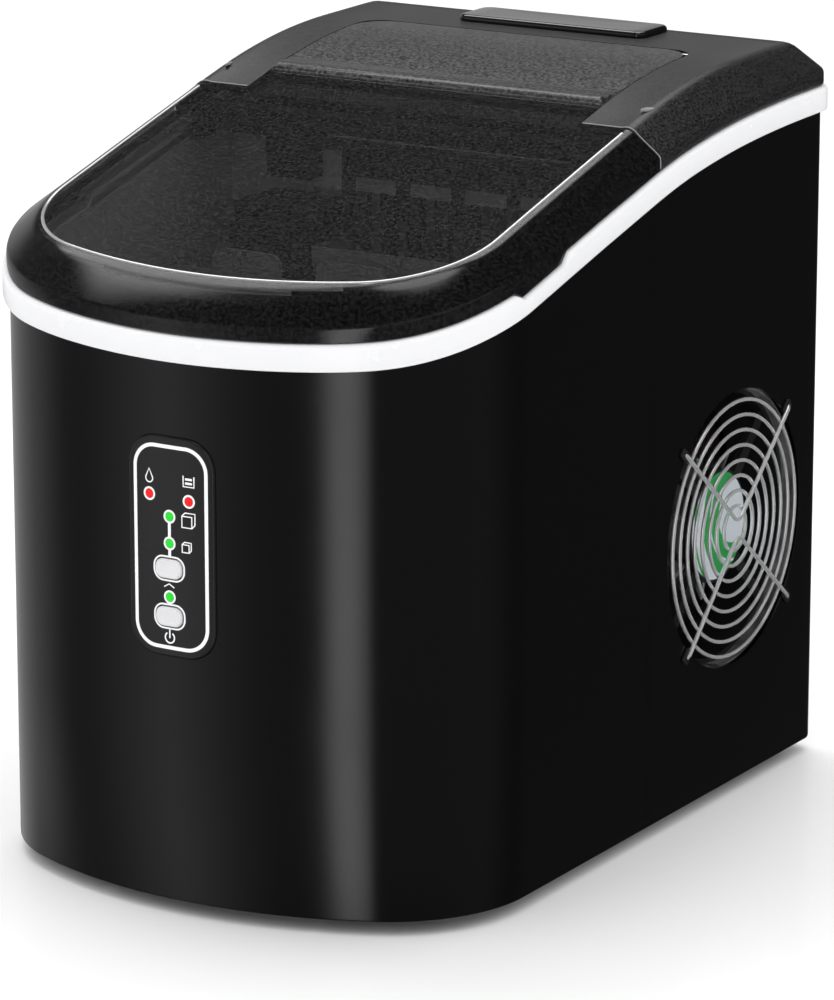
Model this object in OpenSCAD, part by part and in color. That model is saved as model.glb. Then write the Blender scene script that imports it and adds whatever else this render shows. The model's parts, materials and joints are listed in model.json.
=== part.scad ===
// Countertop ice maker: a bow-fronted case with a white shoulder band, a hinged smoked lid,
// and the refrigeration and ice-making pieces inside.
// +Z is up, +Y points to the back, and the origin is on the floor under the middle of the case.
// Pieces are drawn in the case's own frame: y from the middle of the bowed front towards the
// back, z from the bottom edge of the case. placed() moves them to the part's frame.

/* [Case] */
// Width across the side walls
case_w = 236; // [234:1:238]
// Depth from the middle of the bowed front to the back wall
case_d = 337; // [336:1:340]
// Height of the rubber feet below the case
foot_h = 6; // [4:1:12]
// Thickness of the shells
wall = 2.5; // [2:0.1:3]
// Radius of the front corners
corner_r = 64; // [62:1:66]
// Radius of the rear corners
rear_r = 10; // [8:1:12]
// Distance of the seam between front and rear shell from the front
seam_y = 179; // [176:1:182]

/* [Shoulder band and top] */
// Height of the white band
band_h = 10.5; // [9:0.5:12]
// How far the band stands out of the walls
band_out = 3; // [2:0.5:4]
// Height of the lid's upright lip
lip_h = 7; // [6:0.5:8]
// Distance of the joint between lid and rear cover from the front
lid_y = 182; // [181:0.5:183]
// Half the width of the lid's tongue
tongue_w = 81.4; // [79:0.2:83]
// Distance of the lid's hinge axis from the front
hinge_y = 280; // [279.5:0.5:280.5]
// Height of the lid's hinge axis above the case's bottom edge
hinge_z = 312.1; // [312:0.05:312.2]

/* [Fan] */
// Radius of the round hole in the right side
fan_hole_r = 60.6; // [60:0.1:61]
// Distance of the fan's axis from the front
fan_y = 256; // [254:1:258]
// Height of the fan's axis
fan_z = 114; // [112:1:118]
// Radius of the guard's wire
wire_r = 1; // [0.8:0.1:1.1]
// Number of rings in the guard
guard_rings = 8; // [6:1:9]
// Number of blades on the rotor
blades = 7; // [5:1:9]

/* [Control panel] */
// Width of the panel
panel_w = 41; // [39:0.5:42]
// Height of the panel
panel_h = 91; // [89:0.5:93]
// Height of the panel's middle
panel_z = 149; // [145:1:152]
// How far a button travels
button_travel = 0.8; // [0.4:0.1:0.9]

/* [Ice making] */
// Number of freezing fingers
fingers = 9; // [7:1:9]
// Inner radius of the tilting water tray
tray_r = 20; // [19:0.5:20]
// Height of the ice basket's rim
basket_z = 226; // [220:1:228]

/* [Hidden] */

$fn = 64;
half_w = case_w / 2;
gap = 0.4;                       // clearance beside moving pieces
band_gap = 0.15;                 // between the shells and the band
cut = 1;                         // how far cutters run past a face
corner_c = [half_w - corner_r, 76.2];   // centre of the right front corner's arc
ridge_in = 12.5;                 // inset of the ridge from the walls
ridge_front = 17;                // inset of the ridge from the middle of the bowed front
lid_t = 3;                       // thickness of the lid and the rear cover
deck_gap = 1.2;                  // space below the tongue
tongue_y = 282.4;                // rear end of the tongue
hinge_x = [66, 86];              // hinge pins from and to, on each side
pin_hinge_r = 0.9;               // radius of the hinge pins, inside the lid's and cover's plates
pin_play = 0.08;
rear_gap = 1;                    // room behind the tongue for it to swing up
tongue_r = 15;                   // rear corners of the tongue
pocket_r = 11;                   // rear corners of the cover's pocket, sharper so that the tongue swings clear

// Heights against depth: lower edge of the band, and the ridge where the bevel meets the top
band_knots = [[-4, 225.2], [18, 228.6], [60, 240.9], [100, 251.2], [150, 263.6], [200, 275],
    [245, 281], [290, 283.8], [342, 284.8]];
ridge_knots = [[-4, 251.4], [18, 257], [200, 303.5], [231, 309.6], [262, 313], [300, 313.8],
    [342, 313.9]];

// Smooth curve through knots: cubic pieces with slopes taken from each knot's neighbours
function slope(k, i) = let (a = max(i - 1, 0), b = min(i + 1, len(k) - 1))
    (k[b].y - k[a].y) / (k[b].x - k[a].x);
function piece(k, y, i = 0) = i >= len(k) - 2 || y < k[i + 1].x ? i : piece(k, y, i + 1);
function curve(k, y) = let (i = piece(k, y), w = k[i + 1].x - k[i].x, t = (y - k[i].x) / w)
    k[i].y * (1 + 2 * t) * (1 - t) * (1 - t) + slope(k, i) * w * t * (1 - t) * (1 - t)
    + k[i + 1].y * t * t * (3 - 2 * t) + slope(k, i + 1) * w * t * t * (t - 1);

// Finger lift: the lid's lip dips into the band on both sides
dip_y = 86;
dip_half = 20;
dip_h = 3.6;
function smooth(t) = let (c = min(max(t, 0), 1)) c * c * (3 - 2 * c);
function dip(y) = dip_h * smooth((dip_half - abs(y - dip_y)) / 5);
function band_low(y) = curve(band_knots, y);
function band_top(y) = band_low(y) + band_h - dip(y);
function crease(y) = band_low(y) + band_h + lip_h;
function ridge(y) = curve(ridge_knots, y);

// Outline of the case moved outwards by o, with the middle of its front at y = f
function arc(c, r, a, b, n) = [for (i = [0:n]) c + r * [cos(a + (b - a) * i / n), sin(a + (b - a) * i / n)]];
function bow_r(o, f) = let (r = corner_r + o, d = corner_c.y - f)
    (corner_c.x * corner_c.x + d * d - r * r) / (2 * (d - r));
function half_line(o, f) = let (
        big = bow_r(o, f), r = corner_r + o, back = max(rear_r + o, 3),
        a = atan2(corner_c.y - f - big, corner_c.x), side = corner_c.y, rear = case_d + o - back)
    concat(arc([0, f + big], big, -90, a, 12),
        [for (i = [1:8]) corner_c + r * [cos(a - a * i / 8), sin(a - a * i / 8)]],
        [for (i = [1:23]) [half_w + o, side + (rear - side) * i / 24]],
        arc([half_w + o - back, rear], back, 0, 90, 6));
function outline(o, f) = let (h = half_line(o, f), n = len(h))
    concat(h, [for (i = [n - 1:-1:1]) [-h[i].x, h[i].y]]);
function plan(o) = outline(o, -o);
function ring_low(o) = [for (p = plan(o)) [p.x, p.y, band_low(p.y)]];
function ring_top(o, dz) = [for (p = plan(o)) [p.x, p.y, band_top(p.y) + dz]];
function ring_crease(o, dz) = [for (p = plan(o)) [p.x, p.y, crease(p.y) + dz]];
function ring_ridge(o, f, dz) = [for (p = outline(o, f)) [p.x, p.y, ridge(p.y) + dz]];

// Points of a wire that leaves the fan's axis at an angle
function spoke_end(a, r) = [fan_y + r * cos(a), fan_z + r * sin(a)];

module placed() translate([0, -case_d / 2, foot_h]) children();

// Solid between closed rings of points; the first ring follows the last
module ring_loft(rings) {
    m = len(rings[0]);
    k = len(rings);
    faces = [for (j = [0:k - 1], i = [0:m - 1], s = [0, 1]) let (
        a = j * m + i, b = j * m + (i + 1) % m, c = ((j + 1) % k) * m + i, d = ((j + 1) % k) * m + (i + 1) % m)
        s == 0 ? [a, c, b] : [b, c, d]];
    polyhedron(points = [for (r = rings, p = r) p], faces = faces, convexity = 6);
}

// Solid between stacked rings, closed below and above by strips that run across in X
module cap_loft(rings) {
    m = len(rings[0]);
    k = len(rings);
    sides = [for (j = [0:k - 2], i = [0:m - 1], s = [0, 1]) let (
        a = j * m + i, b = j * m + (i + 1) % m, c = a + m, d = b + m)
        s == 0 ? [a, c, b] : [b, c, d]];
    top = (k - 1) * m;
    strips = [for (i = [0:(m - 3) / 2]) let (a = i, b = i + 1, c = m - i - 1, d = m - i)
        i == 0 ? [[a, b, c]] : [[a, b, c], [a, c, d]]];
    low = [for (s = strips, t = s) t];
    high = [for (s = strips, t = s) [t[2] + top, t[1] + top, t[0] + top]];
    polyhedron(points = [for (r = rings, p = r) p], faces = concat(sides, low, high), convexity = 6);
}

// Outline of the case as an upright solid
module slab(o, z0, z1) translate([0, 0, z0]) linear_extrude(z1 - z0) polygon(plan(o));

// Solid whose side view is the given outline of [y, z] points
module side_view(points, w) rotate([90, 0, 90]) linear_extrude(w, center = true) polygon(points);

// Side view of everything between height z0 and the band's lower edge moved up by dz
function below_band(y0, y1, z0, dz) = let (n = 24)
    concat([[y0, z0], [y1, z0]], [for (i = [n:-1:0]) let (y = y0 + (y1 - y0) * i / n) [y, band_low(y) + dz]]);

module block(x0, x1, y0, y1, z0, z1) translate([x0, y0, z0]) cube([x1 - x0, y1 - y0, z1 - z0]);
module rod_x(x0, x1, y, z, r) translate([x0, y, z]) rotate([0, 90, 0]) cylinder(h = x1 - x0, r = r);
module rod_y(y0, y1, x, z, r) translate([x, y1, z]) rotate([90, 0, 0]) cylinder(h = y1 - y0, r = r);
module rod_z(z0, z1, x, y, r) translate([x, y, z0]) cylinder(h = z1 - z0, r = r);
module round_rect(w, h, r) {
    square([w - 2 * r, h], center = true);
    square([w, h - 2 * r], center = true);
    for (x = [-1, 1], y = [-1, 1]) translate([x * (w / 2 - r), y * (h / 2 - r)]) circle(r, $fn = 48);
}
// Upright rounded plate that faces the front, from y0 to y1
module front_plate(x, z, w, h, r, y0, y1)
    translate([x, y1, z]) rotate([90, 0, 0]) linear_extrude(y1 - y0) round_rect(w, h, r);
// Round rod through points, with balls at its corners
module pipe(points, r) {
    for (i = [0:len(points) - 2]) {
        v = points[i + 1] - points[i];
        l = norm(v);
        translate(points[i]) rotate([0, acos(v.z / l), atan2(v.y, v.x)]) cylinder(h = l, r = r, $fn = 24);
    }
    for (i = [1:len(points) - 2]) translate(points[i]) sphere(r, $fn = 24);
}
// Layer that follows the bowed front, between two offsets from it
module bow_layer(o0, o1, z0, z1) translate([0, bow_r(0, 0), z0]) difference() {
    cylinder(h = z1 - z0, r = bow_r(0, 0) + o1, $fn = 200);
    translate([0, 0, -cut]) cylinder(h = z1 - z0 + 2 * cut, r = bow_r(0, 0) + o0, $fn = 200);
}

// ---- Case ----

foot_places = [[-78, 58], [78, 58], [-95, 308], [95, 308]];
pan_z = [1, 4];

module base_pan() color("dimgray") placed() difference() {
    slab(-wall - 0.3, pan_z[0], pan_z[1]);
    for (p = foot_places) rod_z(0, 5, p.x, p.y, 4.2);
    for (i = [0:8]) block(-40, 40, 226 + 9 * i, 230 + 9 * i, 0, 5);
    for (p = grommet_places) rod_z(0, 5, p.x, p.y, 3.1);
    for (p = screw_places) rod_z(0, 5, p.x, p.y, 2);
}

module feet() color("black") placed() for (p = foot_places) translate([p.x, p.y, 0]) {
    rotate_extrude() polygon([[0, -foot_h], [9, -foot_h], [11, 0], [11, pan_z[0]], [4, pan_z[0]],
        [4, pan_z[1]], [6, pan_z[1]], [4.4, 7], [0, 7]]);
}

panel_x = -1.1;
drain_at = [70, 44];             // y and z of the drain
module front_shell() color("black") placed() difference() {
    intersection() {
        slab(0, 0, 320);
        side_view(below_band(-10, seam_y, 0, -band_gap), case_w + 20);
    }
    slab(-wall, -cut, 330);
    front_plate(panel_x, panel_z, panel_w + 0.4, panel_h + 0.4, 13.2, -10, 20);
    rod_x(-half_w - 5, -half_w + 5, drain_at.x, drain_at.y, 9.2);
}

vent_rows = 12;
module rear_shell() color("black") placed() difference() {
    intersection() {
        slab(0, 0, 320);
        side_view(below_band(seam_y + 0.3, case_d + 10, 0, -band_gap), case_w + 20);
    }
    slab(-wall, -cut, 330);
    rod_x(half_w - 6, half_w + 6, fan_y, fan_z, fan_hole_r);
    for (i = [0:vent_rows - 1], j = [0, 1])
        block(-half_w - 5, -half_w + 5, 212 + 52 * j, 256 + 52 * j, 50 + 9 * i, 54 + 9 * i);
    for (i = [0:7]) block(-48, 48, case_d - 5, case_d + 5, 150 + 9 * i, 154 + 9 * i);
    rod_y(case_d - 5, case_d + 5, gland_at.x, gland_at.y, gland_r + 0.1);
    for (p = back_screws) rod_y(case_d - 5, case_d + 5, p.x, p.y, 1.8);
}

module trim_band() color("white") placed()
    ring_loft([ring_low(band_out), ring_top(band_out, 0), ring_top(-8.4, 0), ring_top(-8.4, -2),
        ring_top(-wall, -4), ring_low(-wall)]);

// Shell of the top: lip, bevel and flat top, lid_t thick
module top_shell() difference() {
    cap_loft([ring_top(1.2, gap), ring_crease(1, 0), ring_ridge(-ridge_in, ridge_front, 0)]);
    cap_loft([ring_top(-1.8, gap - 8), ring_crease(-2, -1.5),
        ring_ridge(-ridge_in - 2, ridge_front + 2.5, -lid_t)]);
}

// Plan of the tongue with corner radius r, widened by o on its sides and lengthened at its rear
module tongue(o, back, r) {
    y1 = tongue_y + back;
    w = tongue_w + o;
    translate([0, 0, 200]) linear_extrude(200) polygon(concat([[-w, lid_y - 20], [w, lid_y - 20]],
        arc([w - r, y1 - r], r, 0, 90, 7), arc([r - w, y1 - r], r, 90, 180, 7)));
}

// Rod along X between two distances from the middle, on both sides
module both_x(x0, x1, y, z, r) {
    rod_x(x0, x1, y, z, r);
    rod_x(-x1, -x0, y, z, r);
}

module rear_cover() color("#1c1c1c") placed() difference() {
    top_shell();
    block(-150, 150, -20, lid_y + gap, 200, 340);
    tongue(0.5, rear_gap, pocket_r);
    both_x(hinge_x[0], hinge_x[1] + 0.2, hinge_y, hinge_z, pin_hinge_r + pin_play);
}

deck_y = 271;                    // rear edge of the deck
function under_tongue(d) = [for (i = [0:16]) let (y = lid_y + 4 + (deck_y - lid_y - 4) * i / 16) [y, ridge(y) - d]];
module top_deck() color("#1c1c1c") placed() {
    top = under_tongue(lid_t + deck_gap);
    low = under_tongue(lid_t + deck_gap + 2);
    side_view(concat(top, [for (i = [len(low) - 1:-1:0]) low[i]]), 2 * tongue_w - 4);
}

module nameplate() color("black") placed()
    translate([0, 311, ridge(325) + 0.05]) linear_extrude(2.6) round_rect(94, 26, 4);

module lid() color([0.08, 0.08, 0.09, 0.55]) placed() difference() {
    intersection() {
        top_shell();
        union() {
            block(-150, 150, -20, lid_y - gap, 200, 340);
            tongue(0, 0, tongue_r);
        }
    }
    both_x(hinge_x[0] - 0.2, hinge_x[1], hinge_y, hinge_z, pin_hinge_r + pin_play);
}

module lid_hinge_pins() color("silver") placed()
    both_x(hinge_x[0], hinge_x[1], hinge_y, hinge_z, pin_hinge_r);

back_screws = [[-106, 60], [106, 60], [-106, 260], [106, 260]];
screw_places = [[-50, 24], [50, 24], [0, 326]];
module case_screws() color("silver") placed() {
    for (p = back_screws) {
        rod_y(case_d - 9, case_d, p.x, p.y, 1.7);
        rod_y(case_d, case_d + 2, p.x, p.y, 3.4);
    }
    for (p = screw_places) {
        rod_z(pan_z[0], 12, p.x, p.y, 1.7);
        rod_z(-1, pan_z[0], p.x, p.y, 3.4);
    }
}

gland_at = [-84, 30];
gland_r = 6.4;
module power_gland() color("black") placed() difference() {
    union() {
        rod_y(case_d - 6, case_d + 0.5, gland_at.x, gland_at.y, gland_r);
        rod_y(case_d, case_d + 2.4, gland_at.x, gland_at.y, 9);
    }
    rod_y(case_d - 8, case_d + 5, gland_at.x, gland_at.y, 3.6);
}

// ---- Tub and basket ----

tub_o = -9;                      // offset of the tub's outer wall
tub_t = 2.2;                     // thickness of the tub
tub_low = [30, 184];             // bottom of the tub and depth of its lower part
tub_high = [205, 210];           // height of the shelf and depth of the upper part
function tub_side(t) = concat([[-10, tub_low[0] + t], [tub_low[1] - t, tub_low[0] + t],
    [tub_low[1] - t, tub_high[0] + t], [tub_high[1] - t, tub_high[0] + t]],
    [for (i = [20:-1:0]) let (y = -10 + (tub_high[1] - t + 10) * i / 20) [y, band_low(y) + band_h - 5]]);

module inner_tub() color("gainsboro") placed() difference() {
    union() {
        difference() {
            intersection() {
                slab(tub_o, 20, 320);
                side_view(tub_side(0), 300);
            }
            intersection() {
                slab(tub_o - tub_t, 20, 340);
                union() {
                    block(-150, 150, -20, tub_low[1] - tub_t, tub_low[0] + tub_t, 340);
                    block(-150, 150, -20, tub_high[1] - tub_t, tub_high[0] + tub_t, 340);
                }
            }
        }
        for (x = [-1, 1]) block(x * 102.6 - 4.6, x * 102.6 + 4.6, 84, 140, 78, 88);
    }
    rod_x(-half_w, -90, drain_at.x, drain_at.y, 7.6);
    rod_y(200, 220, hose_x, 254, 4.2);
}

module tub_insulation() color("white") placed() difference() {
    intersection() {
        slab(-wall - 0.7, 22, 200);
        block(-150, 150, -20, 190, 20, 200);
    }
    intersection() {
        slab(tub_o + 0.2, 29.8, 210);
        block(-150, 150, -20, tub_low[1] + 0.2, 20, 210);
    }
    block(-30, 28, -10, 20, 96, 210);
    rod_x(-half_w - 10, -90, drain_at.x, drain_at.y, 9.4);
}

basket_o = -18;
basket_y = 148;
basket_low = 88.4;
basket_t = 2;
module basket_plan(o) intersection() {
    polygon(plan(basket_o + o));
    translate([-150, -20]) square([300, basket_y + 20 + o]);
}
module ice_basket() color("whitesmoke") placed() difference() {
    union() {
        difference() {
            translate([0, 0, basket_low]) linear_extrude(basket_z - basket_low) basket_plan(0);
            translate([0, 0, basket_low + basket_t]) linear_extrude(200) basket_plan(-basket_t);
        }
        for (x = [-60, -8]) translate([x, basket_y - 1, basket_z - 8]) rotate([90, 0, 0])
            linear_extrude(2, center = true) translate([0, 8]) round_rect(34, 20, 5);
    }
    for (x = [-80:16:80]) block(x - 2, x + 2, 60, 130, 80, 95);
    for (x = [-84:14:84]) block(x - 2, x + 2, basket_y - 6, basket_y + 5, 110, 190);
    for (y = [80:14:136], s = [-1, 1]) block(s * 100 - 6, s * 100 + 6, y - 2, y + 2, 110, 190);
}

// ---- Ice making ----

tray_y = 182;
tray_z = 236;
tray_x = [-36, 94];
module cross_bar() color("#202020") placed() {
    block(-104, 104, 172, lid_y + 2, 281, 292);
    for (x = [-1, 1]) block(x * 102 - 2.5, x * 102 + 2.5, 172, lid_y + 2, 276, 281);
    difference() {
        for (x = [pusher_x[0] - 4, pusher_x[1] + 1]) block(x, x + 3, 157, 172, 280.6, 289);
        rod_x(pusher_x[0] - 10, pusher_x[1] + 10, pusher_y, pusher_z, pin_r + 0.08);
    }
}

module water_tray() color("whitesmoke") placed() difference() {
    union() {
        rod_x(tray_x[0], tray_x[1], tray_y, tray_z, tray_r + 1.8);
        block(tray_x[0], tray_x[1], tray_y - tray_r - 1.8, tray_y + tray_r + 1.8, tray_z, tray_z + 2.4);
    }
    rod_x(tray_x[0] + 2, tray_x[1] - 2, tray_y, tray_z, tray_r);
    block(tray_x[0] + 2, tray_x[1] - 2, tray_y - tray_r, tray_y + tray_r, tray_z, tray_z + 5);
    block(tray_x[0] - 1, tray_x[1] + 1, tray_y - 30, tray_y + 30, tray_z + 2.4, tray_z + 30);
    for (x = tray_x) rod_x(x - 2, x + 2, tray_y, tray_z, axle_r);
}

axle_r = 1.6;
module tray_axle_pins() color("silver") placed() {
    rod_x(tray_x[0] - 8, tray_x[0] + 2, tray_y, tray_z, axle_r);
    rod_x(tray_x[1] - 2, tray_x[1] + 6, tray_y, tray_z, axle_r);
}

module tray_motor() color("silver") placed() difference() {
    union() {
        block(-80, -40, 168, 200, 218, 252);
        rod_x(-40.5, -37.5, tray_y, tray_z, 7);
        rod_x(-84, -80, tray_y, tray_z, 12);
    }
    rod_x(-46, -30, tray_y, tray_z, axle_r + 0.08);
}

module tray_bracket() color("gray") placed() difference() {
    block(95.4, 99, 170, 200, 222, 262);
    rod_x(90, 110, tray_y, tray_z, axle_r + 0.08);
}

finger_x = [-24, 84];
function finger(i) = finger_x[0] + (finger_x[1] - finger_x[0]) * i / (fingers - 1);
module evaporator() color("#b87333") placed() {
    block(-32, 92, 174, 190, 262, 268);
    for (y = [177.5, 186.5]) rod_x(-30, 84, y, 272, 3.6);
    translate([84, 182, 272]) rotate([0, 0, -90]) rotate_extrude(angle = 180)
        translate([4.5, 0]) circle(3.6);
}
module freezing_fingers() color("silver") placed()
    for (i = [0:fingers - 1]) translate([finger(i), tray_y, 222]) {
        translate([0, 0, 4]) cylinder(h = 36, r = 4);
        sphere_end(4);
    }
module sphere_end(r) translate([0, 0, r]) intersection() {
    sphere(r);
    translate([-r, -r, -r]) cube([2 * r, 2 * r, r]);
}
module evaporator_cover() color("#d0d0d0") placed() difference() {
    block(-37, 98, 170, 200, 262.4, 280);
    block(-35.4, 96.4, 171.6, 198.4, 260, 278.4);
}

pusher_x = [-28, 90];
pusher_y = 162;
pusher_z = 284;
pin_r = 2;
module ice_pusher() color("#303030") placed() {
    rod_x(pusher_x[0], pusher_x[1], pusher_y, pusher_z, 3.4);
    rod_x(pusher_x[0] - 4, pusher_x[1] + 4, pusher_y, pusher_z, pin_r);
    for (x = [-18:26.7:90]) block(x - 1.3, x + 1.3, pusher_y - 4, pusher_y + 3, 254, pusher_z);
    block(-20, 90, pusher_y + 0.6, pusher_y + 2.4, 270, pusher_z);
}

module ice_sensor() color("#303030") placed() {
    block(-57, -36, 158, 169.6, 267, 285);
    block(-52, -42, 169.6, 172, 281, 285);
}

// ---- Refrigeration ----

comp_at = [-48, 262];
grommet_places = [for (a = [90, 210, 330]) comp_at + 40 * [cos(a), sin(a)]];
module compressor() color("#151515") placed() difference() {
    translate([comp_at.x, comp_at.y, 0]) {
        rotate_extrude() polygon(concat([[0, 16]], [for (a = [-90:15:0]) [36 + 12 * cos(a), 28 + 12 * sin(a)]],
            [for (a = [0:15:90]) [22 + 26 * cos(a), 118 + 26 * sin(a)]], [[0, 144]]));
        translate([0, 0, 12]) cylinder(h = 4.5, r = 47);
    }
    for (p = grommet_places) rod_z(10, 17, p.x, p.y, 4.2);
}
module compressor_grommets() color("black") placed() for (p = grommet_places) {
    rod_z(pan_z[1], 11.7, p.x, p.y, 7);
    rod_z(11.7, 16.2, p.x, p.y, 4);
    rod_z(pan_z[0], pan_z[1], p.x, p.y, 3);
}

cond_rows = 6;
cond_x = [57, 73];
cond_y = [208, 312];
cond_r = 3.6;
cond_pitch = 18;
function cond_z(i) = 60 + cond_pitch * i;
module condenser_fins() color("silver") placed()
    for (y = [cond_y[0] + 2:5:cond_y[1] - 2]) translate([65, y + 0.4, 105]) rotate([90, 0, 0])
        linear_extrude(0.8) difference() {
            square([32, 116], center = true);
            for (x = cond_x, i = [0:cond_rows - 1]) translate([x - 65, cond_z(i) - 105]) circle(cond_r);
        }
module condenser_tubes() color("#b87333") placed() {
    for (x = cond_x, i = [0:cond_rows - 1]) rod_y(cond_y[0] - 3, cond_y[1] + 3, x, cond_z(i), cond_r);
    for (i = [0:cond_rows - 1]) translate([65, cond_y[1] + 3, cond_z(i)])
        rotate_extrude(angle = 180) translate([8, 0]) circle(cond_r);
    for (i = [0:cond_rows - 2]) translate([i % 2 == 0 ? cond_x[1] : cond_x[0], cond_y[0] - 3,
        cond_z(i) + cond_pitch / 2]) rotate([0, -90, 180]) rotate_extrude(angle = 180)
        translate([cond_pitch / 2, 0]) circle(cond_r);
}

module filter_drier() color("#b87333") placed() translate([30, 300, 60]) rotate_extrude()
    polygon([[0, 0], [2.4, 0], [2.4, 6], [9, 14], [9, 76], [2.4, 84], [2.4, 90], [0, 90]]);
module refrigerant_pipes() color("#b87333") placed() {
    pipe([[-20, 262, 144.2], [-20, 262, 168], [20, 262, 168], [20, 262, 184], [57, 262, 184]], 2.6);
    pipe([[30, 300, 150], [30, 300, 200], [30, 222, 200], [30, 222, 272], [-28, 222, 272]], 2);
    pipe([[30, 300, 60], [30, 300, 50], [44, 300, 50]], 2);
    pipe([[-60, 262, 144.2], [-60, 262, 190], [-60, 218, 190], [-60, 218, 264], [-40, 218, 264]], 2.6);
}
module hot_gas_valve() color("#b08d57") placed() {
    translate([4, 290, 174]) cylinder(h = 14, r = 8);
    block(-8, 16, 280, 300, 188, 206);
}

// ---- Fan ----

fan_half = 60;
frame_x = [84.5, 109.5];
hub_x = 105.6;
module fan_frame() color("#101010") placed() difference() {
    union() {
        difference() {
            block(frame_x[0], frame_x[1], fan_y - fan_half, fan_y + fan_half, fan_z - fan_half, fan_z + fan_half);
            rod_x(frame_x[0] - 1, frame_x[1] + 1, fan_y, fan_z, 58);
        }
        intersection() {
            rod_x(hub_x, frame_x[1], fan_y, fan_z, 59);
            union() for (a = [45:90:315]) translate([hub_x, fan_y, fan_z]) rotate([a, 0, 0])
                translate([0, 0, -3]) cube([3, 62, 6]);
        }
        rod_x(hub_x, frame_x[1], fan_y, fan_z, 25);
    }
    rod_x(frame_x[0], hub_x + 3, fan_y, fan_z, 1.58);
    for (y = [-1, 1], z = [-1, 1]) rod_x(80, 120, fan_y + y * 52.5, fan_z + z * 52.5, 2.1);
}
module fan_label() color("seagreen") placed() rod_x(frame_x[1], frame_x[1] + 0.3, fan_y, fan_z, 23.5);
module fan_rotor() color("#303030") placed() {
    rod_x(90, hub_x - 0.6, fan_y, fan_z, 22);
    rod_x(hub_x - 0.7, hub_x + 2.6, fan_y, fan_z, 1.5);
    intersection() {
        rod_x(86, hub_x - 1, fan_y, fan_z, 56);
        for (i = [0:blades - 1]) translate([96, fan_y, fan_z]) rotate([360 * i / blades, 0, 0])
            rotate([0, 35, 0]) translate([-11, -9, 20]) rotate([10, 0, 0]) cube([22, 1.8, 40]);
    }
}
module fan_shroud() color("#181818") placed() difference() {
    rod_x(frame_x[1], half_w - wall, fan_y, fan_z, fan_hole_r + 4);
    rod_x(frame_x[1] - 1, half_w, fan_y, fan_z, fan_hole_r - 0.4);
}
guard_x = half_w + 1.8;          // plane of the spokes, outside the rings
ring_x = guard_x - 2 * wire_r - 0.05;  // plane of the rings
module guard_wire(a, b) {
    v = b - a;
    translate([guard_x, a.x, a.y]) rotate([atan2(v.y, v.x), 0, 0]) rotate([-90, 0, 0])
        cylinder(h = norm(v), r = wire_r, $fn = 8);
}
module fan_guard() color("silver") placed() {
    for (i = [0:guard_rings - 1]) translate([ring_x, fan_y, fan_z]) rotate([0, 90, 0])
        rotate_extrude() translate([56 - 6.6 * i, 0]) circle(wire_r, $fn = 24);
    for (s = [[138, 44, 3], [-133, -41, -3]]) {
        apex = [fan_y, fan_z + s[2]];
        guard_wire(apex, spoke_end(s[0], 63));
        guard_wire(apex, spoke_end(s[1], 63));
        for (a = [s[0], s[1]]) translate([half_w, spoke_end(a, 63).x, spoke_end(a, 63).y])
            rotate([a, 0, 0]) translate([0, -1.8, -1.6]) cube([2.4, 5, 3.2]);
    }
}

// ---- Water ----

hose_x = 25;
pump_at = [25, 210];
module water_pump() color("#404040") placed() {
    rod_z(pan_z[1], 36, pump_at.x, pump_at.y, 15);
    rod_z(36, 42, pump_at.x, pump_at.y, 5);
}
module water_hose() color("#c8c8c8") placed() {
    rod_z(42, 246, pump_at.x, pump_at.y + 8, 3.5);
    rod_z(42, 46, pump_at.x, pump_at.y + 4, 8);
    translate([pump_at.x, pump_at.y, 246]) rotate([90, 0, 90]) rotate_extrude(angle = 90)
        translate([8, 0]) circle(3.5);
    rod_y(203, pump_at.y, hose_x, 254, 3.5);
}
module drain_socket() color("whitesmoke") placed() difference() {
    union() {
        rod_x(-half_w, -half_w + 8.4, drain_at.x, drain_at.y, 9);
        rod_x(-half_w + 8, -half_w + 15, drain_at.x, drain_at.y, 7.4);
    }
    rod_x(-half_w - 5, -90, drain_at.x, drain_at.y, 6);
}
module drain_plug() color("dimgray") placed() {
    rod_x(-half_w - 0.3, -half_w + 9, drain_at.x, drain_at.y, 5.6);
    rod_x(-half_w - 2.6, -half_w - 0.3, drain_at.x, drain_at.y, 8.6);
}

// ---- Electrics and control panel ----

module control_board() color("darkgreen") placed() {
    block(-20, 18, 6, 7.4, 108, 192);
    for (z = button_z) block(panel_x - 3, panel_x + 3, 4.6, 6, z - 3, z + 3);
}
module power_board() color("darkgreen") placed() {
    block(-100, -30, 193, 194.6, 90, 180);
    block(-92, -66, 194.6, 206, 100, 126);
    block(-60, -48, 194.6, 204, 110, 122);
    block(-90, -70, 194.6, 208, 140, 168);
}

panel_o = 1.2;                   // how far the panel stands out of the bowed front
button_z = [140.3, 120.4];
button_size = [12.5, 8];
red_at = [[-11, 170.2], [7.9, 169.2]];
green_at = [[-1.3, 161.9], [-1.4, 150.8], [-1.6, 128.5]];
lens_r = 1.9;
module panel_bezel() color("#0c0c0c") placed() difference() {
    intersection() {
        bow_layer(-wall - 1, panel_o, panel_z - 60, panel_z + 60);
        front_plate(panel_x, panel_z, panel_w, panel_h, 13, -10, 10);
    }
    for (z = button_z)
        front_plate(panel_x - 0.7, z, button_size.x + 0.7, button_size.y + 0.7, 3.7, -10, 10);
    for (p = concat(red_at, green_at)) rod_y(-10, 10, p.x, p.y, lens_r + 0.05);
}
mark_t = 0.15;
module mark(a, b) translate([(a.x + b.x) / 2, 10, (a.y + b.y) / 2]) rotate([90, 0, 0])
    linear_extrude(20) square([abs(a.x - b.x) + 1.3, abs(a.y - b.y) + 1.3], center = true);
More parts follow.
